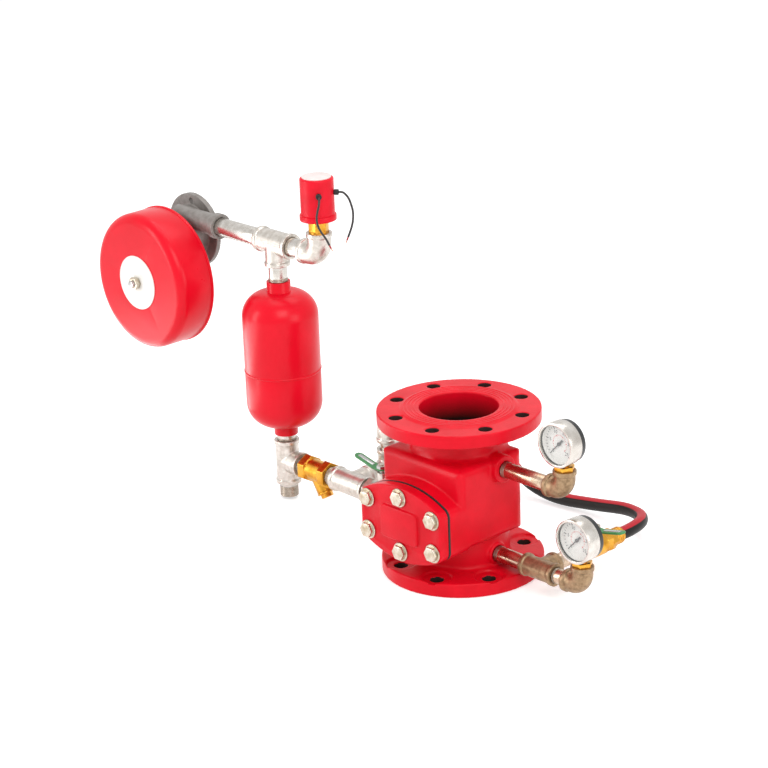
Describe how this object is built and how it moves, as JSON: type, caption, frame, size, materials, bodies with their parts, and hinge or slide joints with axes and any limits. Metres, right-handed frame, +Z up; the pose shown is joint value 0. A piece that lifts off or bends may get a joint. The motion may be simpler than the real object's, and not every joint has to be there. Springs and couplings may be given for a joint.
{
  "type": "sprinkler alarm valve",
  "caption": "Flanged wet alarm valve with access cover, pressure gauges, test line, alarm line with strainer, retard chamber, pressure switch and water motor gong.",
  "frame": {"origin": "centre of the lower flange face, on the valve axis", "axes": "+Z up along the valve axis, -Y towards the access cover, +X towards the pressure gauges"},
  "size_m": [0.923, 0.3735, 0.4985],
  "materials": {
    "red_paint": "gloss red enamel on cast iron and pressed steel",
    "bronze": "machined bronze",
    "rubber": "black moulded rubber",
    "steel": "bright turned steel",
    "zinc": "zinc plated steel",
    "brown_pipe": "weathered galvanised malleable iron",
    "galvanised": "bright galvanised malleable iron",
    "brass": "yellow brass",
    "black_case": "black enamel",
    "white_print": "white enamel with a plain scale",
    "lens_glass": "clear flat glass",
    "green_paint": "green vinyl over steel",
    "hose_rubber": "black hose with a red stripe",
    "red_plastic": "red moulded plastic",
    "lead_cover": "red and black insulated wires",
    "grey_cast": "warm grey painted casting"
  },
  "bodies": {
    "frame": {"valve_body": "red_paint", "seat_ring": "bronze", "hinge_pin": "steel", "access_cover": "red_paint", "cover_gasket": "rubber", "cover_bolts": "zinc", "small_nipples": "brown_pipe", "gauge_elbows": "brown_pipe", "gauge_bushings": "brass", "gauge_cases": "black_case", "gauge_bezels": "steel", "gauge_dials": "white_print", "gauge_lenses": "lens_glass", "gauge_movements": "brass", "test_tee": "brown_pipe", "test_valve_body": "brass", "hose_tails": "brass", "test_hose": "hose_rubber", "large_nipples": "galvanised", "alarm_valve_body": "galvanised", "alarm_tee": "galvanised", "pipe_elbows": "galvanised", "strainer_body": "brass", "strainer_screen": "steel", "strainer_cap": "brass", "drain_tee": "galvanised", "chamber_upper_shell": "red_paint", "chamber_lower_shell": "red_paint", "upper_tee": "galvanised", "gong_pipe": "galvanised", "switch_neck": "brass", "switch_base": "red_plastic", "switch_housing": "red_plastic", "switch_cap": "white_print", "lead_grommets": "rubber", "front_lead": "lead_cover", "side_lead": "lead_cover", "motor_casing": "grey_cast", "motor_cover": "grey_cast", "motor_screws": "zinc", "gong_post": "steel", "gong_bell": "red_paint", "gong_disc": "white_print", "gong_nut": "zinc"},
    "clapper": {"clapper": "bronze", "clapper_facing": "rubber", "facing_retainer": "bronze"},
    "alarm_lever": {"alarm_valve_ball": "steel", "alarm_valve_stem": "steel", "alarm_valve_lever": "green_paint"},
    "test_lever": {"test_valve_ball": "steel", "test_valve_stem": "steel", "test_valve_lever": "green_paint"},
    "upper_needle": {"upper_needle": "black_case"},
    "lower_needle": {"lower_needle": "black_case"},
    "striker": {"turbine_wheel": "brass", "striker_shaft": "steel", "striker": "steel"}
  },
  "joints": [
    {"name": "clapper_hinge", "type": "hinge", "parent": "frame", "child": "clapper", "pos_m": [0.055, 0, 0.0903], "axis": [0, 1, 0], "range_deg": [0, 45]},
    {"name": "alarm_lever_turn", "type": "hinge", "parent": "frame", "child": "alarm_lever", "pos_m": [-0.156, 0, 0.058], "axis": [0, 0, 1], "range_deg": [0, 90]},
    {"name": "test_lever_turn", "type": "hinge", "parent": "frame", "child": "test_lever", "pos_m": [0.145, 0.106, 0.036], "axis": [0, 0, 1], "range_deg": [0, 90]},
    {"name": "upper_needle_turn", "type": "hinge", "parent": "frame", "child": "upper_needle", "pos_m": [0.19, -0.008, 0.227], "axis": [0, 1, 0], "range_deg": [0, 270]},
    {"name": "lower_needle_turn", "type": "hinge", "parent": "frame", "child": "lower_needle", "pos_m": [0.219, -0.008, 0.102], "axis": [0, 1, 0], "range_deg": [0, 270]},
    {"name": "striker_turn", "type": "hinge", "parent": "frame", "child": "striker", "pos_m": [-0.574, 0, 0.358], "axis": [0, 1, 0], "continuous": true}
  ]
}
